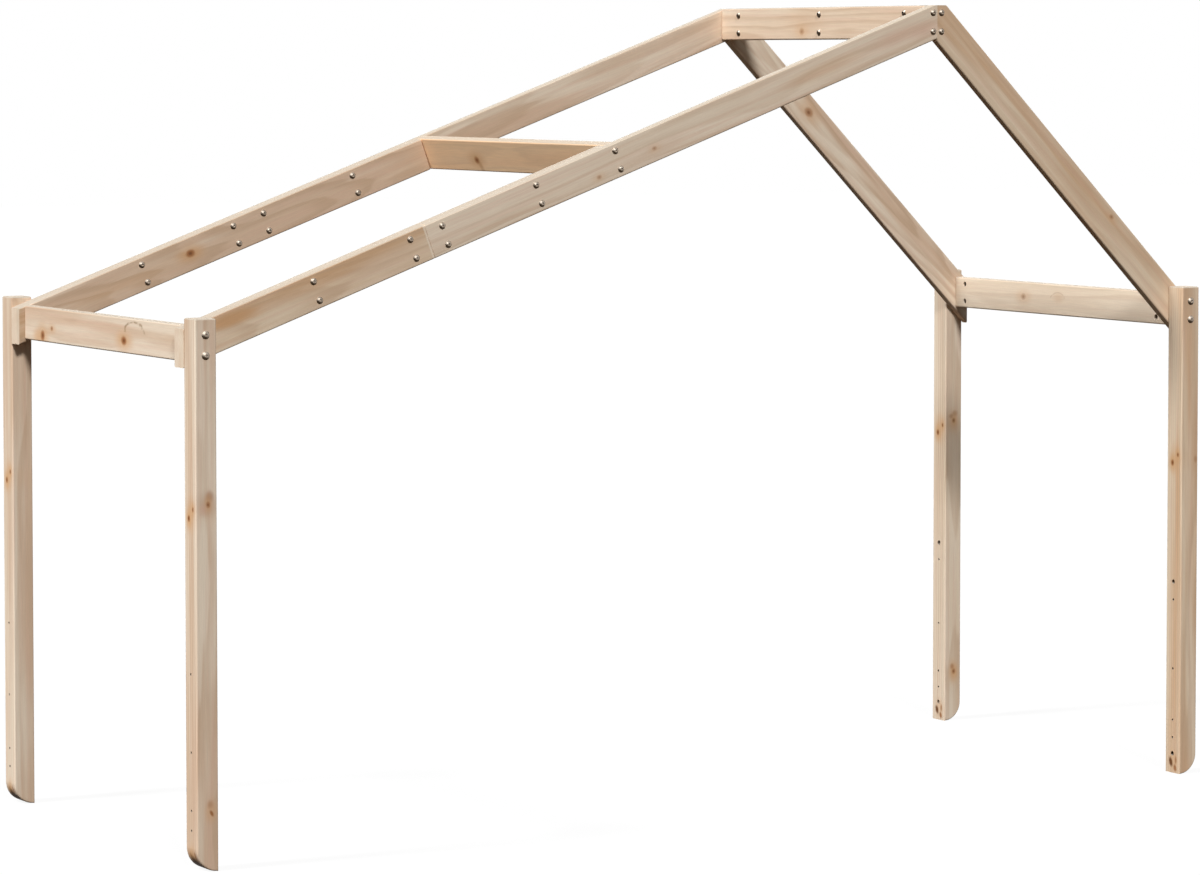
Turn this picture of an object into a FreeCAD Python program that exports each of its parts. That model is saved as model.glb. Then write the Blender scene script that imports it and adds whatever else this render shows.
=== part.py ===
import FreeCAD, Part
import math
import os

# A house-shaped canopy frame of solid pine that is bolted to a child's bed, in millimetres.
# +X runs along the frame, from the foot of the long slope to the foot of the steep slope.
# +Y runs from the front frame to the rear frame, and +Z is up.
# The origin is on the floor, under the middle of the frame.

Vector = FreeCAD.Vector
X_AXIS = Vector(1, 0, 0)
Y_AXIS = Vector(0, 1, 0)
Z_AXIS = Vector(0, 0, 1)
ORIGIN = Vector(0, 0, 0)

# ---------------------------------------------------------------- driving sizes

overall_length = 2061.0         # over the outer faces of the posts, along X
overall_width = 821.0           # over the outer faces of the posts, along Y

post_height = 915.0
post_width = 39.0               # along X
post_depth = 43.5               # along Y
post_edge_radius = 3.0          # round on the long edges
foot_flat = 2.0                 # strip that stands on the floor, between a quarter round and the inner face

board_thickness = 18.0
board_width = 61.0
board_edge_radius = 3.0         # round on the long edges
end_chamfer = 2.0               # arris taken off square-sawn ends

long_slope = 20.0               # degrees
long_slope_drop = 18.5          # from a post's top to the long slope's top edge, at its outer end
steep_slope_drop = 20.5         # from a post's top to the steep slope's top edge, at its outer end
peak_from_left = 1497.0         # from the left posts' outer face to the upright seam at the peak
peak_flat_left = 11.0           # level cut over the peak, from the seam towards the long slope
peak_flat_right = 21.0          # and from the seam towards the steep slope
end_rail_drop = 13.0            # from a post's top to the top of an end rail
seam_along = 476.0              # from the left end to the seam in the long slope, along its top edge
mid_rail_along = 870.5          # from the left end to the middle of the mid rail, along the top edge

pair_spacing = 34.0             # between the two bolts of a pair
splice_near = 32.5              # from the seam to the nearer pair of splice bolts
splice_far = 227.0              # from the seam to the farther pair
ridge_bolt_from_nut = 30.0      # from the ridge boards' barrel nuts to their outer pairs of bolts
nut_from_end = 33.0             # from a rail's end to the axis of the barrel nuts in it

bolt_diameter = 6.0
bolt_hole_clearance = 0.25      # radial, in wood
thread_clearance = 0.05         # radial, in a nut
bolt_past_axis = 3.5            # length of a bolt beyond the axis of its barrel nut
socket_across_flats = 4.0
socket_depth = 2.0
socket_rim = 0.4                # flat left on a head around the corners of its socket

post_head_diameter = 14.0
post_head_height = 3.2
dome_head_diameter = 12.0
dome_head_height = 3.3
head_rim_height = 0.8           # straight edge under a head's dome

sleeve_diameter = 8.0
sleeve_length = 15.0
sleeve_floor = 1.5              # metal between a sleeve's thread and its head's seat
sleeve_hole_clearance = 0.15    # radial, in wood
bolt_in_sleeve = 12.0           # length of a splice bolt inside its sleeve

barrel_diameter = 10.0
barrel_length = 12.0
barrel_hole_clearance = 0.1     # radial, in wood
barrel_slot_width = 1.4
barrel_slot_depth = 1.2

bed_bolt_diameter = 8.0         # blind holes in the inner face of each post, for the bed's bolts
bed_bolt_depth = 28.0
bed_bolt_low = 36.5             # heights above the floor
bed_bolt_high = 361.0
pilot_diameter = 4.0            # small holes right through each post
pilot_heights = (67.0, 100.0, 197.0, 327.0)

# ---------------------------------------------------------------- places worked out from them

half_length = overall_length / 2
half_width = overall_width / 2
foot_radius = post_width - foot_flat

slope_angle = math.radians(long_slope)
long_slope_foot = post_height - long_slope_drop
steep_slope_foot = post_height - steep_slope_drop
peak_x = peak_from_left - half_length
peak_height = long_slope_foot + (peak_from_left - peak_flat_left) * math.tan(slope_angle)
steep_rise = peak_height - steep_slope_foot
steep_run = overall_length - peak_from_left - peak_flat_right
steep_angle = math.atan2(steep_rise, steep_run)
steep_length = math.hypot(steep_rise, steep_run)

post_inner = half_width - post_depth            # distance of each layer from the middle plane
rafter_inner = post_inner - board_thickness
splice_inner = rafter_inner - board_thickness
rafter_middle = post_inner - board_thickness / 2
splice_middle = rafter_inner - board_thickness / 2

post_axis_x = half_length - post_width / 2
end_rail_middle = post_height - end_rail_drop - board_width / 2
ridge_middle = peak_height - board_width / 2
ridge_bolt_reach = rafter_inner - nut_from_end - ridge_bolt_from_nut

bolt_radius = bolt_diameter / 2
bolt_hole = bolt_diameter + 2 * bolt_hole_clearance
thread_bore = bolt_diameter + 2 * thread_clearance
sleeve_hole = sleeve_diameter + 2 * sleeve_hole_clearance
barrel_hole = barrel_diameter + 2 * barrel_hole_clearance

beyond = 2 * board_width        # how far trimming blocks and over-long boards run past a cut
pair = (-pair_spacing / 2, pair_spacing / 2)


def long_slope_point(along, down):
    """X and Z of a point, measured along the long slope's top edge and square down from it."""
    x = -half_length + along * math.cos(slope_angle) + down * math.sin(slope_angle)
    z = long_slope_foot + along * math.sin(slope_angle) - down * math.cos(slope_angle)
    return x, z


def long_slope_pair(along):
    """The two bolt places of a pair that stands square across the long slope's boards."""
    return [long_slope_point(along, board_width / 2 + offset) for offset in pair]


left_post_pair = [(-post_axis_x, end_rail_middle + offset) for offset in pair]
right_post_pair = [(post_axis_x, end_rail_middle + offset) for offset in pair]
lower_splice_points = long_slope_pair(seam_along - splice_far) + long_slope_pair(seam_along - splice_near)
upper_splice_points = long_slope_pair(seam_along + splice_near) + long_slope_pair(seam_along + splice_far)
mid_rail_pair = long_slope_pair(mid_rail_along)
left_peak_pair = [(peak_x - board_thickness / 2, ridge_middle + offset) for offset in pair]
right_peak_pair = [(peak_x + board_thickness / 2, ridge_middle + offset) for offset in pair]


# ---------------------------------------------------------------- general shapes

def rounded_bar(size_y, size_z, radius, length):
    """A bar along +X from the origin, centred in Y and Z, with its four long edges rounded."""
    y = size_y / 2
    z = size_z / 2
    inset = radius * (1 - math.cos(math.pi / 4))
    edges = []
    for turn in ((1, 1), (-1, 1), (-1, -1), (1, -1)):
        side_y, side_z = turn
        on_side = Vector(0, side_y * y, side_z * (z - radius))
        on_top = Vector(0, side_y * (y - radius), side_z * z)
        middle = Vector(0, side_y * (y - inset), side_z * (z - inset))
        start, finish = (on_side, on_top) if side_y * side_z > 0 else (on_top, on_side)
        if edges:
            edges.append(Part.makeLine(edges[-1].Vertexes[-1].Point, start))
        edges.append(Part.Arc(start, middle, finish).toShape())
    edges.append(Part.makeLine(edges[-1].Vertexes[-1].Point, edges[0].Vertexes[0].Point))
    return Part.Face(Part.Wire(edges)).extrude(Vector(length, 0, 0))


def board(length):
    """A planed board along +X, centred in Y (thickness) and Z (width)."""
    return rounded_bar(board_thickness, board_width, board_edge_radius, length)


def chamfer_end(shape, outward):
    """Take the arris off the square-sawn end that faces outward."""
    edges = []
    for face in shape.Faces:
        if isinstance(face.Surface, Part.Plane) and face.normalAt(0, 0).dot(outward) > 0.999:
            edges.extend(face.Edges)
    return shape.makeChamfer(end_chamfer, edges)


def drill(shape, points, diameter, start_y, end_y):
    """Holes along Y at the given X and Z places, between two distances in Y."""
    low = min(start_y, end_y)
    depth = abs(end_y - start_y)
    holes = [Part.makeCylinder(diameter / 2, depth, Vector(x, low, z), Y_AXIS) for x, z in points]
    return shape.cut(holes)


def block_between(low, high):
    """A box from its lowest to its highest corner."""
    size = high - low
    return Part.makeBox(size.x, size.y, size.z, low)


def mirror_front_to_rear(shape):
    return shape.mirror(ORIGIN, Y_AXIS)


def stand_on(shape, point, outward):
    """Move a fastener so that the seat under its head is at point and its head faces outward."""
    placed = shape.copy()
    turn = FreeCAD.Rotation(Z_AXIS, outward)
    placed.Placement = FreeCAD.Placement(point, turn)
    return placed


# ---------------------------------------------------------------- posts

def foot_cutter():
    """What the rounded foot takes away from a left post: a corner block less a wheel with a round rim."""
    wheel_start = Vector(foot_radius, -post_depth / 2, foot_radius)
    wheel = Part.makeCylinder(foot_radius, post_depth, wheel_start, Y_AXIS)
    rims = [edge for edge in wheel.Edges if isinstance(edge.Curve, Part.Circle)]
    wheel = wheel.makeFillet(post_edge_radius, rims)
    low = Vector(-post_width, -post_depth, -post_width)
    high = Vector(foot_radius, post_depth, foot_radius)
    return block_between(low, high).cut(wheel)


def left_post():
    """A left post with its outer face at X = 0, centred in Y, standing on Z = 0."""
    post = rounded_bar(post_depth, post_width, post_edge_radius, post_height)
    post.rotate(ORIGIN, Y_AXIS, -90)
    post.translate(Vector(post_width / 2, 0, 0))
    top = [edge for edge in post.Edges if edge.BoundBox.ZMin > post_height - 1]
    post = post.makeChamfer(end_chamfer, top)
    post = post.cut(foot_cutter())
    holes = []
    for height in (bed_bolt_low, bed_bolt_high):
        mouth = Vector(post_width, 0, height)
        holes.append(Part.makeCylinder(bed_bolt_diameter / 2, bed_bolt_depth, mouth, -X_AXIS))
    for height in pilot_heights:
        holes.append(Part.makeCylinder(pilot_diameter / 2, post_width, Vector(0, 0, height), X_AXIS))
    return post.cut(holes)


def make_posts():
    posts = {}
    for end, side_x in (("left", -1), ("right", 1)):
        shape = left_post()
        shape.translate(Vector(-half_length, 0, 0))
        if side_x > 0:
            shape = shape.mirror(ORIGIN, X_AXIS)
        points = left_post_pair if side_x < 0 else right_post_pair
        shape = drill(shape, points, bolt_hole, -post_depth / 2, post_depth / 2)
        for place, side_y in (("front", -1), ("rear", 1)):
            post = shape.copy()
            post.translate(Vector(0, side_y * (half_width - post_depth / 2), 0))
            posts[place + "_" + end + "_post"] = post
    return posts


# ---------------------------------------------------------------- sloping boards

def long_slope_board(start, finish, middle_y):
    """A board of the long slope between two distances along its top edge."""
    shape = board(finish - start)
    shape.rotate(ORIGIN, Y_AXIS, -long_slope)
    x, z = long_slope_point(start, board_width / 2)
    shape.translate(Vector(x, middle_y, z))
    return shape


def trimmed(shape, low_x, high_x, high_z):
    """Keep what lies between two upright planes and under a level one."""
    low = Vector(low_x, -overall_width, 0)
    high = Vector(high_x, overall_width, high_z)
    return shape.common(block_between(low, high))


def make_front_rafters():
    """The four boards of the front frame, whose outer faces lie against the posts' inner faces."""
    outer_y = -post_inner
    middle_y = -rafter_middle
    seam_y = -rafter_inner
    inner_y = -splice_inner
    along = Vector(math.cos(slope_angle), 0, math.sin(slope_angle))
    above = peak_height + beyond

    lower = long_slope_board(-beyond, seam_along, middle_y)
    lower = trimmed(lower, -half_length, peak_x, above)
    lower = drill(lower, left_post_pair + lower_splice_points, bolt_hole, outer_y, seam_y)

    top_length = peak_from_left / math.cos(slope_angle)
    upper = long_slope_board(seam_along, top_length + beyond, middle_y)
    upper = chamfer_end(upper, -along)
    upper = trimmed(upper, -half_length, peak_x, peak_height)
    upper_points = upper_splice_points + mid_rail_pair + left_peak_pair
    upper = drill(upper, upper_points, bolt_hole, outer_y, seam_y)

    splice = long_slope_board(-beyond, mid_rail_along - board_thickness / 2, -splice_middle)
    splice = chamfer_end(splice, along)
    splice = trimmed(splice, -half_length, peak_x, above)
    splice = drill(splice, left_post_pair, bolt_hole, seam_y, inner_y)
    splice = drill(splice, lower_splice_points + upper_splice_points, sleeve_hole, seam_y, inner_y)

    steep = board(steep_length + 2 * beyond)
    steep.translate(Vector(-beyond, 0, -board_width / 2))
    steep.rotate(ORIGIN, Y_AXIS, math.degrees(steep_angle))
    steep.translate(Vector(half_length - steep_run, middle_y, peak_height))
    steep = trimmed(steep, peak_x, half_length, peak_height)
    steep = drill(steep, right_post_pair + right_peak_pair, bolt_hole, outer_y, seam_y)

    return {
        "lower_rafter": lower,
        "upper_rafter": upper,
        "splice_board": splice,
        "steep_rafter": steep,
    }


# ---------------------------------------------------------------- cross pieces

def cross_board(length, points, nut_side):
    """A board across the frame at X = 0 and Z = 0, with bolt holes in its ends and barrel nut holes.

    points are the heights of the bolts, and nut_side is +1 or -1 for the face with the nut holes.
    """
    shape = board(length)
    shape.rotate(ORIGIN, Z_AXIS, 90)
    shape.translate(Vector(0, -length / 2, 0))
    shape = chamfer_end(shape, Y_AXIS)
    shape = chamfer_end(shape, -Y_AXIS)
    bolt_depth = nut_from_end + bolt_past_axis
    nut_depth = (board_thickness + barrel_length) / 2
    holes = []
    for side_y in (-1, 1):
        for height in points:
            end = Vector(0, side_y * length / 2, height)
            holes.append(Part.makeCylinder(bolt_hole / 2, bolt_depth, end, Y_AXIS * -side_y))
            mouth = Vector(nut_side * board_thickness / 2, side_y * (length / 2 - nut_from_end), height)
            holes.append(Part.makeCylinder(barrel_hole / 2, nut_depth, mouth, X_AXIS * -nut_side))
    return shape.cut(holes)


def make_cross_boards():
    left_rail = cross_board(2 * splice_inner, pair, 1)
    left_rail.translate(Vector(-post_axis_x, 0, end_rail_middle))

    right_rail = cross_board(2 * rafter_inner, pair, -1)
    right_rail.translate(Vector(post_axis_x, 0, end_rail_middle))

    mid_rail = cross_board(2 * rafter_inner, pair, 1)
    mid_rail.rotate(ORIGIN, Y_AXIS, -long_slope)
    x, z = long_slope_point(mid_rail_along, board_width / 2)
    mid_rail.translate(Vector(x, 0, z))

    ridge_holes = []
    for y in (-ridge_bolt_reach, 0, ridge_bolt_reach):
        for offset in pair:
            ridge_holes.append((y, offset))
    ridge = {}
    for name, side, diameter in (("left", -1, bolt_hole), ("right", 1, sleeve_hole)):
        shape = cross_board(2 * rafter_inner, pair, -side)
        cutters = []
        for y, height in ridge_holes:
            start = Vector(-board_thickness / 2, y, height)
            cutters.append(Part.makeCylinder(diameter / 2, board_thickness, start, X_AXIS))
        shape = shape.cut(cutters)
        shape.translate(Vector(peak_x + side * board_thickness / 2, 0, ridge_middle))
        ridge[name] = shape

    return {
        "left_end_rail": left_rail,
        "right_end_rail": right_rail,
        "mid_rail": mid_rail,
        "ridge_board_left": ridge["left"],
        "ridge_board_right": ridge["right"],
    }


# ---------------------------------------------------------------- bolts and nuts

def head_profile(diameter, height):
    """Edges of a domed head's half section, from the flat around its socket to the rim of its seat."""
    radius = diameter / 2
    flat = socket_across_flats / 2 / math.cos(math.pi / 6) + socket_rim
    rise = height - head_rim_height
    ball = (radius ** 2 - flat ** 2 + rise ** 2) / (2 * rise)
    ball_radius = math.hypot(ball, flat)
    middle_angle = (math.asin(radius / ball_radius) + math.asin(flat / ball_radius)) / 2
    middle_height = height - ball + ball_radius * math.cos(middle_angle)
    middle = Vector(ball_radius * math.sin(middle_angle), 0, middle_height)
    crown = Vector(flat, 0, height)
    shoulder = Vector(radius, 0, head_rim_height)
    top = Part.makeLine(Vector(0, 0, height), crown)
    dome = Part.Arc(crown, middle, shoulder).toShape()
    rim = Part.makeLine(shoulder, Vector(radius, 0, 0))
    return [top, dome, rim]


def revolved(edges, points):
    """A solid turned about Z from edges and the straight lines that close them through points."""
    line = list(edges)
    for point in points:
        line.append(Part.makeLine(line[-1].Vertexes[-1].Point, point))
    line.append(Part.makeLine(line[-1].Vertexes[-1].Point, line[0].Vertexes[0].Point))
    return Part.Face(Part.Wire(line)).revolve(ORIGIN, Z_AXIS, 360)


def socket(height):
    """The hexagon socket in a head of the given height."""
    corner = socket_across_flats / 2 / math.cos(math.radians(30))
    points = []
    for step in range(7):
        angle = math.radians(60 * step)
        points.append(Vector(corner * math.cos(angle), corner * math.sin(angle), height - socket_depth))
    return Part.Face(Part.makePolygon(points)).extrude(Vector(0, 0, height))


def bolt(length, head_diameter, head_height):
    """A bolt with its head above Z = 0 and its shank below."""
    shank = [
        Vector(bolt_radius, 0, 0),
        Vector(bolt_radius, 0, -length),
        Vector(0, 0, -length),
    ]
    shape = revolved(head_profile(head_diameter, head_height), shank)
    return shape.cut(socket(head_height))


def sleeve_nut():
    """A nut with a domed head like a bolt's and a threaded sleeve below it."""
    sleeve = [
        Vector(sleeve_diameter / 2, 0, 0),
        Vector(sleeve_diameter / 2, 0, -sleeve_length),
        Vector(thread_bore / 2, 0, -sleeve_length),
        Vector(thread_bore / 2, 0, -sleeve_floor),
        Vector(0, 0, -sleeve_floor),
    ]
    shape = revolved(head_profile(dome_head_diameter, dome_head_height), sleeve)
    return shape.cut(socket(dome_head_height))


def barrel_nut():
    """A steel barrel along Z, centred on the origin, bored across along X and slotted on its +Z end."""
    shape = Part.makeCylinder(barrel_diameter / 2, barrel_length, Vector(0, 0, -barrel_length / 2), Z_AXIS)
    start = Vector(-barrel_diameter, 0, 0)
    bore = Part.makeCylinder(thread_bore / 2, 2 * barrel_diameter, start, X_AXIS)
    slot_low = Vector(-barrel_diameter, -barrel_slot_width / 2, barrel_length / 2 - barrel_slot_depth)
    slot_high = Vector(barrel_diameter, barrel_slot_width / 2, barrel_length)
    return shape.cut([bore, block_between(slot_low, slot_high)])


def barrels_at(centres, open_side):
    """Barrel nuts at centres, bored along Y, with their slotted ends facing open_side in the XZ plane."""
    shape = barrel_nut()
    shape.rotate(ORIGIN, Z_AXIS, 90)
    shape.rotate(ORIGIN, Y_AXIS, math.degrees(math.atan2(open_side.x, open_side.z)))
    nuts = []
    for centre in centres:
        nut = shape.copy()
        nut.translate(centre)
        nuts.append(nut)
    return nuts


def bolts_at(points, seat_y, length, head_diameter, head_height):
    """Bolts along Y whose heads stand out of the front face at seat_y."""
    shape = bolt(length, head_diameter, head_height)
    return [stand_on(shape, Vector(x, seat_y, z), -Y_AXIS) for x, z in points]


def front_and_rear(solids):
    return solids + [mirror_front_to_rear(solid) for solid in solids]


def make_bolts():
    """Every group of bolts and nuts, by node name."""
    groups = {}
    into_rail = nut_from_end + bolt_past_axis
    left_length = half_width - splice_inner + into_rail
    right_length = half_width - rafter_inner + into_rail
    board_bolt_length = board_thickness + into_rail
    splice_bolt_length = board_thickness + bolt_in_sleeve
    seat_y = -post_inner

    post_pairs = (
        ("left", left_post_pair, left_length),
        ("right", right_post_pair, right_length),
    )
    for end, points, length in post_pairs:
        solids = bolts_at(points, -half_width, length, post_head_diameter, post_head_height)
        groups["front_" + end + "_post_bolts"] = solids
        groups["rear_" + end + "_post_bolts"] = [mirror_front_to_rear(solid) for solid in solids]

    splice_points = lower_splice_points + upper_splice_points
    solids = bolts_at(splice_points, seat_y, splice_bolt_length, dome_head_diameter, dome_head_height)
    groups["front_splice_bolts"] = solids
    groups["rear_splice_bolts"] = [mirror_front_to_rear(solid) for solid in solids]
    nut = sleeve_nut()
    solids = [stand_on(nut, Vector(x, -splice_inner, z), Y_AXIS) for x, z in splice_points]
    groups["front_splice_nuts"] = solids
    groups["rear_splice_nuts"] = [mirror_front_to_rear(solid) for solid in solids]

    solids = bolts_at(mid_rail_pair, seat_y, board_bolt_length, dome_head_diameter, dome_head_height)
    groups["mid_rail_bolts"] = front_and_rear(solids)
    peak_points = left_peak_pair + right_peak_pair
    solids = bolts_at(peak_points, seat_y, board_bolt_length, dome_head_diameter, dome_head_height)
    groups["front_peak_bolts"] = solids
    groups["rear_peak_bolts"] = [mirror_front_to_rear(solid) for solid in solids]

    ridge_bolts = []
    ridge_nuts = []
    ridge_bolt = bolt(splice_bolt_length, dome_head_diameter, dome_head_height)
    for y in (-ridge_bolt_reach, 0, ridge_bolt_reach):
        for offset in pair:
            left_seat = Vector(peak_x - board_thickness, y, ridge_middle + offset)
            right_seat = Vector(peak_x + board_thickness, y, ridge_middle + offset)
            ridge_bolts.append(stand_on(ridge_bolt, left_seat, -X_AXIS))
            ridge_nuts.append(stand_on(nut, right_seat, X_AXIS))
    groups["ridge_bolts"] = ridge_bolts
    groups["ridge_nuts"] = ridge_nuts

    left_y = nut_from_end - splice_inner
    right_y = nut_from_end - rafter_inner
    slope_along = Vector(math.cos(slope_angle), 0, math.sin(slope_angle))
    nut_places = (
        ("left_rail_nuts", left_post_pair, left_y, X_AXIS),
        ("right_rail_nuts", right_post_pair, right_y, -X_AXIS),
        ("mid_rail_nuts", mid_rail_pair, right_y, slope_along),
        ("ridge_left_nuts", left_peak_pair, right_y, X_AXIS),
        ("ridge_right_nuts", right_peak_pair, right_y, -X_AXIS),
    )
    for name, points, y, open_side in nut_places:
        centres = [Vector(x, y, z) for x, z in points]
        groups[name] = front_and_rear(barrels_at(centres, open_side))
    return groups


# ---------------------------------------------------------------- the whole frame

def main():
    nodes = make_posts()
    for name, shape in make_front_rafters().items():
        nodes["front_" + name] = shape
        nodes["rear_" + name] = mirror_front_to_rear(shape)
    nodes.update(make_cross_boards())
    for name, solids in make_bolts().items():
        nodes[name] = Part.makeCompound(solids)

    os.makedirs("parts", exist_ok=True)
    for name, shape in nodes.items():
        shape.exportStep("parts/" + name + ".step")


main()
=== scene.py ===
import math

import bpy
from mathutils import Euler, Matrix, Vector


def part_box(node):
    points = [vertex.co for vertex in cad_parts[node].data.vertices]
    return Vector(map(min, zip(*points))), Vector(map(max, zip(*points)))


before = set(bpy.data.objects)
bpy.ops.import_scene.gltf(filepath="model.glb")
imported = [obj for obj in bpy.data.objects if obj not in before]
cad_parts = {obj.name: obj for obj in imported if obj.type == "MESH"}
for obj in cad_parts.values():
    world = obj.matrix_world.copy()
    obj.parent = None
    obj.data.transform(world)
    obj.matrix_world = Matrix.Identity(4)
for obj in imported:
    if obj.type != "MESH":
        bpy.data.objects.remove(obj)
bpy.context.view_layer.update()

# ---------------------------------------------------------------- sizes, in metres and radians

LONG_SLOPE = math.radians(20)
STEEP_SLOPE = math.radians(45)
BOARD_WIDTH = 0.061
POST_HALF = 0.0195               # half of a post's size along X

# A post's holes get painted shade on their walls: its pilots, which run right through, and its
# bores, which end inside it. The painted shade is a little wider than the hole.
BORE_HEIGHTS = (0.0365, 0.361)
BORE_RADIUS = 0.0042
BORE_REACH = 0.034
PILOT_HEIGHTS = (0.067, 0.100, 0.197, 0.327)
PILOT_RADIUS = 0.0023
FOOT_SHADE_REACH = 0.036              # how far in the painted shade on a left post's foot goes from its outer face

# The photograph's camera: a long lens a little below the ridge's height, tipped down three degrees.
# The rest of the way down is a shift, which keeps the posts close to parallel as the photograph
# shows them.
CAMERA_PLACE = (-4.104, -7.058, 1.345)
CAMERA_YAW = math.radians(-30.135)
CAMERA_TIP = math.radians(3.052)
CAMERA_LENS = 133.77                     # millimetres
CAMERA_SENSOR = 36.0                     # millimetres
CAMERA_SHIFT = (-0.0077, -0.1195)        # of the picture's width
CAMERA_FAR = 200.0

# The way to each light, its strength, and how wide it looks. The main one stands high over the left
# end, a weaker one over the front, and a soft, low one behind on the right.
LIGHTS = {
    "left_light": ((-0.650, 0.03, 0.760), 3.30, math.radians(8)),
    "front_light": ((-0.22, -0.79, 0.57), 2.15, math.radians(9)),
    "back_light": ((0.66, 0.66, 0.18), 1.2, math.radians(40)),
}
SKY_STRENGTH = 0.17
FLOOR_SIZE = 60.0
FLOOR_COLOUR = (0.9, 0.9, 0.9, 1.0)
FLOOR_SHADOW = 0.08              # how much of the floor's own shading the camera sees
FLOOR_BOUNCE = (0.035, 0.022, 0.012, 1.0)        # the colour of what the floor sends back up

# ---------------------------------------------------------------- colours, as linear light

# Clear wood. Each timber goes from a base colour to a tone.
IVORY = (0.94, 0.81, 0.65)
STRAW = (0.91, 0.76, 0.59)
CREAM = (0.86, 0.73, 0.58)
PALE = (0.82, 0.67, 0.50)
SAND = (0.80, 0.66, 0.51)
BISCUIT = (0.80, 0.63, 0.47)
APRICOT = (0.95, 0.67, 0.42)
AMBER = (0.93, 0.62, 0.38)
TAN = (0.72, 0.53, 0.38)
RUDDY = (0.72, 0.47, 0.28)
WARM = (0.66, 0.44, 0.27)
PINK = (0.72, 0.46, 0.34)
LATEWOOD = (0.60, 0.42, 0.28)
# the painted shade on faces turned up to the lights
TOP_SHADE_COLOUR = (0.455, 0.40, 0.33)

# Knots, stains, and the dark colours of painted shade.
ORANGE = (0.64, 0.38, 0.20)
HALO = (0.70, 0.40, 0.19)
RUSSET = (0.38, 0.16, 0.065)
KNOT = (0.19, 0.075, 0.03)
PITCH = (0.30, 0.19, 0.09)
UMBER = (0.15, 0.055, 0.018)
# the black of painted shade, in the posts' holes and at the left posts' feet
SHADE_BLACK = (0.030, 0.013, 0.006)

NICKEL_DARK = (0.30, 0.25, 0.20)
NICKEL_PALE = (0.42, 0.36, 0.30)
# the painted shade on the steel's lower sides
NICKEL_SHADE = (0.050, 0.032, 0.018)

# ---------------------------------------------------------------- how pine is drawn

# Noise drawn out along the grain: its length and width, what it adds to the timber's seed, and
# its detail.
BEND = (0.45, 0.09, 0.0, 1.5)            # the tree's heart, which wanders along the timber
WOBBLE = (0.05, 0.012, 3.1, 3.0)         # the uneven outlines of marks
BROAD = (0.50, 0.030, 7.3, 2.0)          # the slow change from base colour to tone
STREAK = (0.30, 0.0065, 11.9, 2.0)
FIBRE = (0.035, 0.0007, 17.7, 3.0)
PORE = (0.006, 0.00025, 23.1, 2.0)
BREAK = (0.012, 0.008, 31.0, 2.0)        # the gaps in a line of pitch

NOISE_MIDDLE = 0.5
BEND_REACH = 0.030               # metres across the grain
WOBBLE_REACH = 0.5               # of a mark's own size

# Each ring darkens slowly and ends sharply. Noise moves the rings by up to 1.6 of their spacing.
UNEVEN_SCALE = (0.8, 55.0, 55.0)         # along the grain and across it
UNEVEN_SEED = 1.7
UNEVEN_DETAIL = 1.0
UNEVEN_RINGS = 1.6
LATE_RISE = (0.25, 0.80)
LATE_FALL = (1.0, 0.86)

# Pairs of values, from where a fade begins to where it is complete.
TONE_FADE = (0.36, 0.64)
STREAK_FADE = (0.40, 0.72)
RING_FADE = (0.30, 0.62)
RINGS_LEAST = 0.25
STREAKS_USUAL = 0.32

# Fibres and pores shade the colour, roughen the surface and raise it.
FIBRE_SHARE = 0.22
PORE_SHARE = 0.10
FINE_FADE = (0.08, 0.24)
FINE_SHADES = (0.90, 1.05)
ROUGH_FADE = (0.3, 0.7)
ROUGHNESS = (0.50, 0.62)
SHINE = 0.02
LATE_RELIEF = 0.35
FINE_RELIEF = 2.0
PINE_BUMP = (0.25, 0.0004)       # strength and height

# Sawn ends are plain, pale and rough. What is turned up to the lights gets painted shade: a duller,
# darker colour that tones down their light.
END_FADE = (0.80, 0.90)
END_PALENESS = 0.55
END_ROUGHNESS = 0.12
PAINTED_SHADE_SIDE = (-0.30, -0.25, 0.92)
PAINTED_SHADE_FADE = (0.60, 0.84)
PAINTED_SHADE_MOST = 0.85

# A knot is a reddish halo drawn out along the grain, a darker eye and a dark core. Each has its
# half sizes as shares of the knot's, a colour, a strength and the softness of its edge. The core
# pushes the rings aside.
KNOT_PARTS = (
    (2.6, 1.9, HALO, 0.75, 0.90),
    (1.0, 1.0, RUSSET, 0.95, 0.40),
    (0.4, 0.4, KNOT, 0.90, 0.70),
)
PUSH_LENGTH = 2.2                # of the core's own size
PUSH_HEIGHT = 2.6
PUSH_STRENGTH = 1.2
PUSH_EDGE = 0.9

# An arc is a thin line on a mark's outline, above the middle of the mark and broken by noise.
ARC_LINE = (0.15, 0.0)
ARC_WOBBLE = 1.1
ARC_UPPER = (0.0, 0.25)
ARC_BREAKS = (0.40, 0.55)
ARC_SHOWS = (0.2, 1.0)

# ---------------------------------------------------------------- how steel is drawn

# The size of the noise, its seed and its detail.
SMEAR = (0.004, 4.2, 3.0)
SCRATCH = (0.0004, 8.6, 2.0)

SMEAR_FADE = (0.35, 0.65)
STEEL_ROUGH_FADE = (0.3, 0.7)
STEEL_ROUGHNESS = (0.42, 0.52)
# Sides of the steel that face away from this direction get painted shade.
STEEL_LIT_SIDE = (0.35, 0.0, 0.94)
STEEL_SHADE_FADE = (0.02, -0.42)
STEEL_BUMP = (0.08, 0.00005)     # strength and height


# ---------------------------------------------------------------- node helpers

def new_material(name):
    """A material with its node tree and its shader."""
    material = bpy.data.materials.new(name)
    material.use_nodes = True
    tree = material.node_tree
    return material, tree, tree.nodes["Principled BSDF"]


def feed(tree, socket, value):
    """Give a socket a constant, or link another node's output to it."""
    if isinstance(value, bpy.types.NodeSocket):
        tree.links.new(value, socket)
    else:
        socket.default_value = value


def maths(tree, operation, *values):
    made = tree.nodes.new("ShaderNodeMath")
    made.operation = operation
    for socket, value in zip(made.inputs, values):
        feed(tree, socket, value)
    return made.outputs[0]


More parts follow.
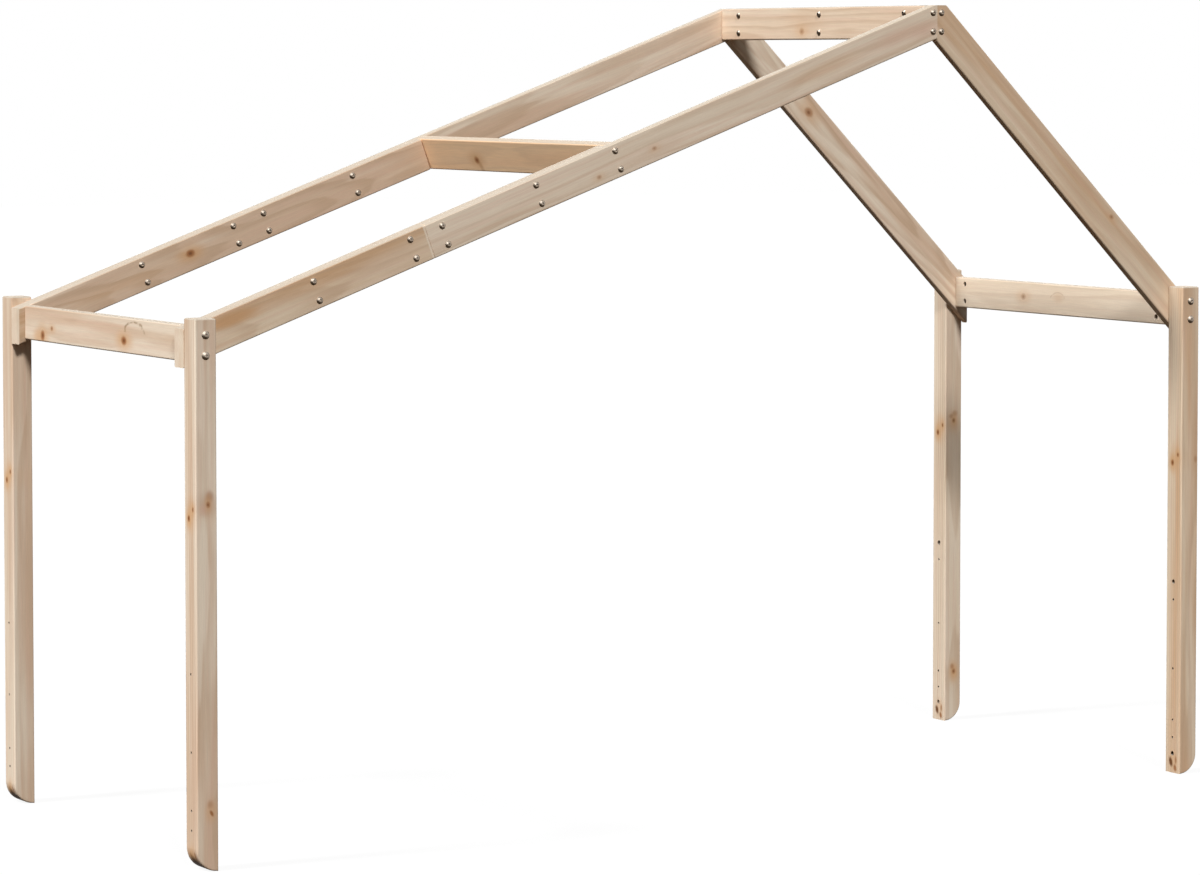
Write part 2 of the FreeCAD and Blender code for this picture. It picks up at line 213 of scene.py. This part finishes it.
def vector_maths(tree, operation, *values):
    made = tree.nodes.new("ShaderNodeVectorMath")
    made.operation = operation
    for socket, value in zip(made.inputs, values):
        feed(tree, socket, value)
    return made.outputs["Value" if operation in ("LENGTH", "DOT_PRODUCT") else "Vector"]


def fade(tree, value, limits, results=(0.0, 1.0)):
    """Turn a value smoothly into the first result at the first limit, the second at the second."""
    made = tree.nodes.new("ShaderNodeMapRange")
    made.interpolation_type = "SMOOTHSTEP"
    feed(tree, made.inputs["Value"], value)
    made.inputs["From Min"].default_value, made.inputs["From Max"].default_value = limits
    made.inputs["To Min"].default_value, made.inputs["To Max"].default_value = results
    return made.outputs["Result"]


def mix(tree, factor, first, second, blend="MIX"):
    made = tree.nodes.new("ShaderNodeMix")
    made.data_type = "RGBA"
    made.blend_type = blend
    feed(tree, made.inputs["Factor"], factor)
    for socket, value in ((made.inputs[6], first), (made.inputs[7], second)):
        feed(tree, socket, value if isinstance(value, bpy.types.NodeSocket) else (*value, 1.0))
    return made.outputs[2]


def grey(tree, value):
    """A grey whose three parts are all the value."""
    made = tree.nodes.new("ShaderNodeCombineColor")
    for socket in made.inputs[:3]:
        feed(tree, socket, value)
    return made.outputs["Color"]


def placed(tree, vector, place=(0, 0, 0), turn=(0, 0, 0), size=(1, 1, 1)):
    """Coordinates in a frame with the given place, turn and size."""
    made = tree.nodes.new("ShaderNodeMapping")
    made.vector_type = "TEXTURE"
    feed(tree, made.inputs["Vector"], vector)
    made.inputs["Location"].default_value = place
    made.inputs["Rotation"].default_value = turn
    made.inputs["Scale"].default_value = size
    return made.outputs["Vector"]


def noise(tree, vector, seed, detail, output="Fac"):
    made = tree.nodes.new("ShaderNodeTexNoise")
    made.noise_dimensions = "4D"
    feed(tree, made.inputs["Vector"], vector)
    made.inputs["W"].default_value = seed
    made.inputs["Scale"].default_value = 1.0
    made.inputs["Detail"].default_value = detail
    return made.outputs[output]


def facing(tree, direction):
    """How squarely the surface faces a direction, from 1 for towards it to -1 for away."""
    normal = tree.nodes.new("ShaderNodeNewGeometry").outputs["Normal"]
    return vector_maths(tree, "DOT_PRODUCT", normal, direction)


def raise_surface(tree, shader, height, strength, distance):
    """Bend the shader's normal as a height would."""
    bump = tree.nodes.new("ShaderNodeBump")
    bump.inputs["Strength"].default_value = strength
    bump.inputs["Distance"].default_value = distance
    tree.links.new(height, bump.inputs["Height"])
    tree.links.new(bump.outputs["Normal"], shader.inputs["Normal"])


# ---------------------------------------------------------------- marks in pine

WHOLE_DEPTH = (0.0, 1000.0)      # for a mark that runs right through


def spot(place, size, colour, strength, edge=0.5, through="y", turn=0.0, depth=WHOLE_DEPTH,
         is_arc=False):
    """A mark on a timber: its place along and across, its half sizes, and how soft its edge is.

    It runs through the timber along one axis of the timber's frame. The depth is the middle and
    half length of its reach that way.
    """
    return {
        "place": place, "size": size, "colour": colour, "strength": strength, "edge": edge,
        "through": through, "turn": turn, "depth": depth, "is_arc": is_arc,
    }


def knot(place, radius, strength=1.0, through="y", stretch=1.3):
    """The spots of a knot, which is longer along the grain than across it."""
    along = radius * stretch
    return [
        spot(place, (along * length, radius * height), colour, share * strength, edge, through)
        for length, height, colour, share, edge in KNOT_PARTS]


def arc(place, size, colour, strength):
    """A thin broken line in an arch over a place: its half length along and its height."""
    return spot(place, size, colour, strength, is_arc=True)


def grain_noise(tree, grain, seed, kind, output="Fac"):
    """Noise of one of the kinds that are drawn out along the grain."""
    length, width, offset, detail = kind
    drawn_out = placed(tree, grain, size=(length, width, width))
    return noise(tree, drawn_out, seed + offset, detail, output)


def mark_coordinates(tree, grain, mark):
    """Coordinates in which a mark is a ball of radius one."""
    along, across = mark["place"]
    length, height = mark["size"]
    depth, reach = mark["depth"]
    if mark["through"] == "y":
        place, turn, size = (along, depth, across), (0, mark["turn"], 0), (length, reach, height)
    else:
        place, turn, size = (along, across, depth), (0, 0, mark["turn"]), (length, height, reach)
    return placed(tree, grain, place, turn, size)


def arc_factor(tree, grain, wobble, mark):
    """How strongly an arc shows at a point."""
    local = mark_coordinates(tree, grain, mark)
    distance = vector_maths(tree, "LENGTH", local)
    distance = maths(tree, "ADD", distance, maths(tree, "MULTIPLY", wobble, ARC_WOBBLE))
    off_line = maths(tree, "ABSOLUTE", maths(tree, "SUBTRACT", distance, 1.0))
    parts = tree.nodes.new("ShaderNodeSeparateXYZ")
    tree.links.new(local, parts.inputs[0])
    upper = fade(tree, parts.outputs["Z"], ARC_UPPER)
    line = maths(tree, "MULTIPLY", fade(tree, off_line, ARC_LINE), upper)
    broken = fade(tree, grain_noise(tree, grain, 0.0, BREAK), ARC_BREAKS, ARC_SHOWS)
    return maths(tree, "MULTIPLY", line, maths(tree, "MULTIPLY", broken, mark["strength"]))


def mark_factor(tree, grain, wobble, mark):
    """How strongly a mark shows at a point."""
    if mark["is_arc"]:
        return arc_factor(tree, grain, wobble, mark)
    distance = vector_maths(tree, "LENGTH", mark_coordinates(tree, grain, mark))
    distance = maths(tree, "ADD", distance, wobble)
    edge = mark["edge"]
    return fade(tree, distance, (1.0 + edge, 1.0 - edge), (0.0, mark["strength"]))


def knot_push(tree, grain, wobble, core):
    """How far a knot pushes the rings away from the tree's heart, from the spot of its core."""
    length, height = core["size"]
    size = (length * PUSH_LENGTH, height * PUSH_HEIGHT)
    push = spot(core["place"], size, KNOT, height * PUSH_STRENGTH, PUSH_EDGE, core["through"])
    return mark_factor(tree, grain, wobble, push)


# ---------------------------------------------------------------- pine

def late_wood(tree, grain, wobble, seed, heart, spacing, marks):
    """How dark a point is in its growth ring.

    Rings are cylinders about the heart of the tree, which has a place and a turn in the timber's
    frame and bends a little.
    """
    bend = grain_noise(tree, grain, seed, BEND, "Color")
    bend = vector_maths(tree, "SUBTRACT", bend, (NOISE_MIDDLE, NOISE_MIDDLE, NOISE_MIDDLE))
    bend = vector_maths(tree, "MULTIPLY", bend, (0.0, BEND_REACH, BEND_REACH))
    bent = placed(tree, vector_maths(tree, "ADD", grain, bend), *heart)
    radius = vector_maths(tree, "LENGTH", vector_maths(tree, "MULTIPLY", bent, (0.0, 1.0, 1.0)))
    for mark in marks:
        if mark["colour"] == KNOT:
            radius = maths(tree, "ADD", radius, knot_push(tree, grain, wobble, mark))
    ring = maths(tree, "DIVIDE", radius, spacing)
    stretched = vector_maths(tree, "MULTIPLY", bent, UNEVEN_SCALE)
    uneven = noise(tree, stretched, seed + UNEVEN_SEED, UNEVEN_DETAIL)
    ring = maths(tree, "ADD", ring, maths(tree, "MULTIPLY", uneven, UNEVEN_RINGS))
    phase = maths(tree, "FRACT", ring)
    return maths(tree, "MULTIPLY", fade(tree, phase, LATE_RISE), fade(tree, phase, LATE_FALL))


def pine(name, place, turn, seed, pith, spacing, rings,
         base=CREAM, tone=TAN, streaks=STREAKS_USUAL, tilt=0.0, crown=0.0, marks=()):
    """Planed pine, in a frame whose X runs along the grain from place.

    The pith is where the tree's heart lies across the grain, the tilt is its slant, and the crown
    is the place along the grain that it slants about. Rings and streaks are given as strengths.
    """
    material, tree, shader = new_material(name)
    points = tree.nodes.new("ShaderNodeTexCoord").outputs["Object"]
    grain = placed(tree, points, place, turn)
    wobble = maths(tree, "SUBTRACT", grain_noise(tree, grain, seed, WOBBLE), NOISE_MIDDLE)
    wobble = maths(tree, "MULTIPLY", wobble, WOBBLE_REACH)
    heart = ((crown, *pith), (0.0, 0.0, tilt))
    late = late_wood(tree, grain, wobble, seed, heart, spacing, marks)
    broad, streak, fibre, pore = (
        grain_noise(tree, grain, seed, kind) for kind in (BROAD, STREAK, FIBRE, PORE))

    colour = mix(tree, fade(tree, broad, TONE_FADE), base, tone)
    colour = mix(tree, fade(tree, streak, STREAK_FADE, (0.0, streaks)), colour, PINK)
    ring_strength = fade(tree, broad, RING_FADE, (RINGS_LEAST, rings))
    colour = mix(tree, maths(tree, "MULTIPLY", late, ring_strength), colour, LATEWOOD)
    for mark in marks:
        colour = mix(tree, mark_factor(tree, grain, wobble, mark), colour, mark["colour"])
    fibre_part = maths(tree, "MULTIPLY", fibre, FIBRE_SHARE)
    fine = maths(tree, "ADD", fibre_part, maths(tree, "MULTIPLY", pore, PORE_SHARE))
    shade = grey(tree, fade(tree, fine, FINE_FADE, FINE_SHADES))
    colour = mix(tree, 1.0, colour, shade, "MULTIPLY")

    along = Vector((1, 0, 0))
    along.rotate(Euler(turn, "XYZ"))
    end = fade(tree, maths(tree, "ABSOLUTE", facing(tree, along)), END_FADE)
    colour = mix(tree, maths(tree, "MULTIPLY", end, END_PALENESS), colour, CREAM)
    # painted shade on the faces turned up towards the lights
    top_shade = fade(tree, facing(tree, PAINTED_SHADE_SIDE), PAINTED_SHADE_FADE, (0.0, PAINTED_SHADE_MOST))
    colour = mix(tree, top_shade, colour, TOP_SHADE_COLOUR)
    tree.links.new(colour, shader.inputs["Base Color"])

    rough = fade(tree, fibre, ROUGH_FADE, ROUGHNESS)
    rough = maths(tree, "ADD", rough, maths(tree, "MULTIPLY", end, END_ROUGHNESS))
    tree.links.new(rough, shader.inputs["Roughness"])
    shader.inputs["Specular IOR Level"].default_value = SHINE

    relief = maths(tree, "MULTIPLY", late, LATE_RELIEF)
    relief = maths(tree, "ADD", relief, maths(tree, "MULTIPLY", fine, FINE_RELIEF))
    raise_surface(tree, shader, relief, *PINE_BUMP)
    return material


# ---------------------------------------------------------------- steel

def steel(name):
    """Nickel-plated steel, bright on its upper sides, with painted shade on its lower sides, where
    it meets the wood.
    """
    material, tree, shader = new_material(name)
    points = tree.nodes.new("ShaderNodeTexCoord").outputs["Object"]
    smear, scratch = (
        noise(tree, placed(tree, points, size=(size, size, size)), seed, detail)
        for size, seed, detail in (SMEAR, SCRATCH))
    colour = mix(tree, fade(tree, smear, SMEAR_FADE), NICKEL_DARK, NICKEL_PALE)
    # painted shade on the lower sides of the heads
    below = fade(tree, facing(tree, STEEL_LIT_SIDE), STEEL_SHADE_FADE)
    colour = mix(tree, below, colour, NICKEL_SHADE)
    tree.links.new(colour, shader.inputs["Base Color"])
    shader.inputs["Metallic"].default_value = 1.0
    rough = fade(tree, smear, STEEL_ROUGH_FADE, STEEL_ROUGHNESS)
    tree.links.new(rough, shader.inputs["Roughness"])
    raise_surface(tree, shader, scratch, *STEEL_BUMP)
    return material


# ---------------------------------------------------------------- where each timber lies

def middle(node):
    low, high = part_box(node)
    return (Vector(low) + Vector(high)) / 2


def post_frame(node):
    """From the floor up the middle of a post, with Z along minus X."""
    centre = middle(node)
    return (centre.x, centre.y, 0.0), (0, -math.pi / 2, 0)


def long_slope_frame(node):
    """From the foot of the long slope up the middle of its boards."""
    low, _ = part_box("front_lower_rafter")
    start = low[2] + BOARD_WIDTH / 2 / math.cos(LONG_SLOPE)
    return (low[0], middle(node).y, start), (0, -LONG_SLOPE, 0)


def steep_slope_frame(node):
    """From the foot of the steep slope, with the boards on the side of minus X."""
    low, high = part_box(node)
    start = low[2] + BOARD_WIDTH / 2 / math.cos(STEEP_SLOPE)
    return (high[0], middle(node).y, start), (0, STEEP_SLOPE, 0)


def cross_frame(node):
    """From the middle of a board that runs across the frame."""
    return tuple(middle(node)), (0, 0, math.pi / 2)


def tilted_cross_frame(node):
    """The same for a board that leans with the long slope."""
    return tuple(middle(node)), (-LONG_SLOPE, 0, math.pi / 2)


def timber_frame(node):
    """The place and turn of the frame in which a timber's grain and marks are given."""
    if node.endswith("_post"):
        return post_frame(node)
    if node.endswith("_steep_rafter"):
        return steep_slope_frame(node)
    if node.endswith("_rafter") or node.endswith("_splice_board"):
        return long_slope_frame(node)
    if node == "mid_rail":
        return tilted_cross_frame(node)
    return cross_frame(node)


# ---------------------------------------------------------------- what each timber looks like

def hole(height, radius, depth=WHOLE_DEPTH):
    """Painted shade on the wall of a hole in a post's X faces."""
    return spot((height, 0.0), (radius, radius), SHADE_BLACK, 0.95, 0.15, through="z", depth=depth)


def bores(inner_face):
    """The painted shade in the two blind holes of a post, from where its inner face lies."""
    return [hole(height, BORE_RADIUS, (inner_face, BORE_REACH)) for height in BORE_HEIGHTS]


# Every post has the same marks in its X faces: a pair of knots two thirds of the way up, a dark
# knot at its foot, and painted shade in its pilots.
POST_MARKS = [
    spot((0.592, -0.003), (0.024, 0.013), HALO, 0.55, 0.9, through="z"),
    *knot((0.6005, -0.0110), 0.0032, 0.80, through="z"),
    *knot((0.5848, 0.0050), 0.0042, 1.00, through="z"),
    spot((0.024, -0.0030), (0.017, 0.011), HALO, 0.45, 0.8, through="z"),
    spot((0.020, 0.0045), (0.0085, 0.0048), UMBER, 0.95, 0.5, through="z", turn=0.35),
    spot((0.010, -0.0085), (0.0060, 0.0040), RUSSET, 0.90, 0.5, through="z", turn=0.35),
    spot((0.0250, -0.0105), (0.0070, 0.0026), RUSSET, 0.75, 0.6, through="z"),
    *[hole(height, PILOT_RADIUS) for height in PILOT_HEIGHTS],
]

# The left posts have painted shade at the foot of their outer faces, where the rounded foot turns
# down from the lights: a dark patch with an orange edge.
LEFT_MARKS = POST_MARKS + bores(-POST_HALF) + [
    spot((0.022, 0.004), (0.013, 0.010), HALO, 0.70, 0.7, through="z",
         depth=(POST_HALF, FOOT_SHADE_REACH)),
    spot((0.000, 0.000), (0.021, 0.0225), SHADE_BLACK, 0.95, 0.28, through="z",
         depth=(POST_HALF, FOOT_SHADE_REACH)),
]
RIGHT_MARKS = POST_MARKS + bores(POST_HALF)

# Two of the posts have a broad knot two thirds of the way up and one near the foot in their Y
# faces, and a third has a small knot at the edge of them.
FRONT_LEFT_KNOTS = [
    spot((0.609, -0.002), (0.018, 0.015), RUSSET, 0.35, 0.8),
    spot((0.6220, -0.0064), (0.008, 0.006), RUSSET, 0.50, 0.7),
    *knot((0.6085, -0.0030), 0.0038, 0.70),
    spot((0.600, 0.006), (0.009, 0.006), PINK, 0.55, 0.8),
    spot((0.100, -0.006), (0.016, 0.009), HALO, 0.50, 0.8),
    spot((0.0970, -0.0070), (0.0055, 0.0026), RUSSET, 0.95, 0.5, turn=-0.5),
    spot((0.1120, -0.0045), (0.0060, 0.0045), RUSSET, 0.45, 0.8),
    spot((0.530, -0.006), (0.030, 0.004), TAN, 0.5, 0.8),
]
REAR_RIGHT_KNOTS = [
    spot((0.609, 0.001), (0.020, 0.013), HALO, 0.45, 0.8),
    *knot((0.6100, -0.0005), 0.0036, 0.60),
    spot((0.6190, 0.0060), (0.004, 0.004), RUSSET, 0.45, 0.7),
    spot((0.6245, -0.0030), (0.005, 0.006), RUSSET, 0.40, 0.8),
    spot((0.098, -0.002), (0.020, 0.009), HALO, 0.60, 0.8),
    *knot((0.0998, -0.0027), 0.0042, 0.70),
    spot((0.1100, 0.0010), (0.005, 0.004), RUSSET, 0.55, 0.7),
]
EDGE_KNOT = [spot((0.592, -0.0135), (0.006, 0.003), RUSSET, 0.45, 0.7)]

# Each timber's look, in the terms that pine takes. Marks stand where the photograph shows them, in
# the timber's frame.
LOOKS = {
    "front_left_post": {
        "seed": 1.0, "pith": (-0.10, -0.012), "spacing": 0.0068, "rings": 0.60,
        "marks": LEFT_MARKS + FRONT_LEFT_KNOTS},
    "rear_left_post": {
        "seed": 2.0, "pith": (0.13, -0.015), "spacing": 0.0064, "rings": 0.62,
        "marks": LEFT_MARKS},
    "front_right_post": {
        "seed": 3.0, "pith": (-0.12, 0.010), "spacing": 0.0066, "rings": 0.60,
        "base": PALE, "tone": RUDDY, "marks": RIGHT_MARKS + EDGE_KNOT},
    "rear_right_post": {
        "seed": 4.0, "pith": (0.11, 0.016), "spacing": 0.0064, "rings": 0.55,
        "tone": PALE, "marks": RIGHT_MARKS + REAR_RIGHT_KNOTS},
    "front_lower_rafter": {
        "seed": 5.0, "pith": (0.055, -0.012), "spacing": 0.0060, "rings": 0.70,
        "base": PALE, "tone": WARM, "tilt": 0.035, "crown": 0.30,
        "marks": [
            spot((0.098, 0.014), (0.052, 0.011), ORANGE, 0.95, 0.6, turn=0.06),
            spot((0.300, 0.013), (0.160, 0.011), ORANGE, 0.55, 0.9),
            spot((0.400, 0.000), (0.060, 0.012), TAN, 0.60, 0.9),
            spot((0.4855, 0.000), (0.0016, 0.300), CREAM, 0.90, 0.5),    # painted highlight: the pale line where the seam's chamfer catches the light
        ]},
    "front_upper_rafter": {
        "seed": 6.0, "pith": (0.09, 0.03), "spacing": 0.0065, "rings": 0.45,
        "tone": SAND,
        "marks": [
            *knot((0.836, -0.015), 0.0035, 0.35),
            *knot((0.957, -0.007), 0.0035, 0.35),
            spot((1.337, 0.000), (0.070, 0.012), ORANGE, 0.35, 0.9),
            spot((1.506, 0.003), (0.050, 0.012), PINK, 0.45, 0.9),
            spot((1.565, -0.008), (0.030, 0.010), PINK, 0.55, 0.9),
        ]},
    "front_splice_board": {
        "seed": 7.0, "pith": (-0.06, 0.02), "spacing": 0.0058, "rings": 0.55,
        "marks": knot((0.400, 0.026), 0.006, 0.6)},
    "front_steep_rafter": {
        "seed": 8.0, "pith": (0.10, -0.04), "spacing": 0.0062, "rings": 0.30,
        "base": PALE, "tone": WARM, "marks": knot((-0.260, 0.017), 0.0040, 0.45)},
    "rear_lower_rafter": {
        "seed": 9.0, "pith": (0.07, 0.01), "spacing": 0.0060, "rings": 0.55, "tilt": 0.03},
    "rear_upper_rafter": {
        "seed": 10.0, "pith": (0.07, 0.01), "spacing": 0.0062, "rings": 0.55, "tilt": 0.02},
    "rear_splice_board": {
        "seed": 11.0, "pith": (0.05, -0.005), "spacing": 0.0056, "rings": 0.65,
        "tilt": 0.03, "crown": 0.25,
        "marks": [
            # Painted shade: its end is dark on the side that faces the front, next to the rail.
            spot((0.006, 0.000), (0.022, 0.080), PITCH, 0.45, 0.5, depth=(-0.009, 0.012)),
            *knot((0.357, 0.001), 0.0065, 1.0),
            spot((0.200, -0.006), (0.12, 0.014), ORANGE, 0.35, 0.9),
        ]},
    "rear_steep_rafter": {
        "seed": 12.0, "pith": (0.06, 0.015), "spacing": 0.0060, "rings": 0.70,
        "tilt": 0.03, "crown": -0.45, "marks": knot((-0.540, 0.002), 0.008, 0.7)},
    "left_end_rail": {
        "seed": 13.0, "pith": (-0.09, 0.006), "spacing": 0.0066, "rings": 0.40,
        "marks": [
            *knot((0.250, -0.019), 0.0085, 0.95, stretch=1.0),
            spot((0.275, -0.021), (0.016, 0.010), HALO, 0.50, 0.8),
            *knot((0.209, -0.005), 0.0040, 0.60),
            *knot((-0.102, -0.009), 0.0075, 1.0, stretch=1.4),
            arc((-0.145, 0.004), (0.042, 0.021), PITCH, 0.75),
        ]},
    "right_end_rail": {
        "seed": 14.0, "pith": (-0.08, 0.0), "spacing": 0.0066, "rings": 0.25,
        "base": IVORY, "tone": STRAW, "streaks": 0.15,
        "marks": [
            *knot((0.114, 0.001), 0.006, 0.45),
            spot((-0.002, 0.005), (0.014, 0.009), ORANGE, 0.30, 0.8),
            arc((0.000, 0.002), (0.022, 0.012), LATEWOOD, 0.55),
        ]},
    "mid_rail": {
        "seed": 15.0, "pith": (-0.07, 0.006), "spacing": 0.0062, "rings": 0.20,
        "base": APRICOT, "tone": AMBER, "streaks": 0.10,
        "marks": [
            *knot((0.137, -0.008), 0.007, 0.85),
            spot((0.128, -0.020), (0.006, 0.012), RUSSET, 0.40, 0.8, turn=0.35),
        ]},
    "ridge_board_left": {
        "seed": 16.0, "pith": (-0.09, -0.03), "spacing": 0.0065, "rings": 0.45,
        "tone": BISCUIT,
        "marks": [
            *knot((0.060, -0.015), 0.006, 0.45),
            spot((0.050, 0.000), (0.050, 0.022), ORANGE, 0.25, 0.9),
        ]},
    "ridge_board_right": {
        "seed": 17.0, "pith": (0.09, 0.02), "spacing": 0.0062, "rings": 0.50},
}


def dress(node, material):
    """Give a CAD piece its finish."""
    piece = bpy.data.objects[node]
    piece.data.materials.clear()
    piece.data.materials.append(material)


def finish_timbers():
    for node, look in LOOKS.items():
        dress(node, pine("pine_" + node, *timber_frame(node), **look))


def finish_hardware():
    plated = steel("nickel_plated_steel")
    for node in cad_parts:
        if node.endswith("_bolts") or node.endswith("_nuts"):
            dress(node, plated)


# ---------------------------------------------------------------- floor, light and camera

def background_rays(tree):
    """One for rays that should see the plain white background."""
    path = tree.nodes.new("ShaderNodeLightPath")
    seen = maths(tree, "MAXIMUM", path.outputs["Is Camera Ray"], path.outputs["Is Glossy Ray"])
    return maths(tree, "MAXIMUM", seen, path.outputs["Is Transmission Ray"])


def diffuse(tree, colour):
    shader = tree.nodes.new("ShaderNodeBsdfDiffuse")
    shader.inputs["Color"].default_value = colour
    return shader.outputs[0]


def mix_shaders(tree, factor, first, second):
    made = tree.nodes.new("ShaderNodeMixShader")
    feed(tree, made.inputs["Fac"], factor)
    tree.links.new(first, made.inputs[1])
    tree.links.new(second, made.inputs[2])
    return made.outputs[0]


def make_floor():
    """A floor that is seen as white with a faint shadow, and lights the frame from below."""
    mesh = bpy.data.meshes.new("floor")
    half = FLOOR_SIZE / 2
    corners = [(-half, -half, 0), (half, -half, 0), (half, half, 0), (-half, half, 0)]
    mesh.from_pydata(corners, [], [(0, 1, 2, 3)])
    floor = bpy.data.objects.new("floor", mesh)
    bpy.context.scene.collection.objects.link(floor)
    material, tree, shader = new_material("pale_floor")
    tree.nodes.remove(shader)
    white = tree.nodes.new("ShaderNodeEmission").outputs[0]
    pale = mix_shaders(tree, FLOOR_SHADOW, white, diffuse(tree, FLOOR_COLOUR))
    surface = mix_shaders(tree, background_rays(tree), diffuse(tree, FLOOR_BOUNCE), pale)
    tree.links.new(surface, tree.nodes["Material Output"].inputs["Surface"])
    mesh.materials.append(material)


def make_sky():
    """White where it is seen, and weak as a light."""
    world = bpy.data.worlds.new("studio")
    world.use_nodes = True
    bpy.context.scene.world = world
    tree = world.node_tree
    background = tree.nodes["Background"]
    background.inputs["Color"].default_value = (1, 1, 1, 1)
    seen = background_rays(tree)
    strength = maths(tree, "MULTIPLY", seen, 1.0 - SKY_STRENGTH)
    strength = maths(tree, "ADD", strength, SKY_STRENGTH)
    tree.links.new(strength, background.inputs["Strength"])


def make_lamp(name, direction, strength, softness):
    lamp = bpy.data.lights.new(name, "SUN")
    lamp.energy = strength
    lamp.angle = softness
    piece = bpy.data.objects.new(name, lamp)
    piece.rotation_euler = Vector(direction).to_track_quat("Z", "Y").to_euler()
    bpy.context.scene.collection.objects.link(piece)


def make_camera():
    camera = bpy.data.cameras.new("camera")
    camera.lens = CAMERA_LENS
    camera.sensor_width = CAMERA_SENSOR
    camera.shift_x, camera.shift_y = CAMERA_SHIFT
    camera.clip_end = CAMERA_FAR
    piece = bpy.data.objects.new("camera", camera)
    piece.location = CAMERA_PLACE
    piece.rotation_euler = (math.pi / 2 - CAMERA_TIP, 0, CAMERA_YAW)
    bpy.context.scene.collection.objects.link(piece)
    bpy.context.scene.camera = piece


finish_timbers()
finish_hardware()
make_floor()
make_sky()
for light, settings in LIGHTS.items():
    make_lamp(light, *settings)
make_camera()
bpy.context.scene.view_settings.view_transform = "Standard"
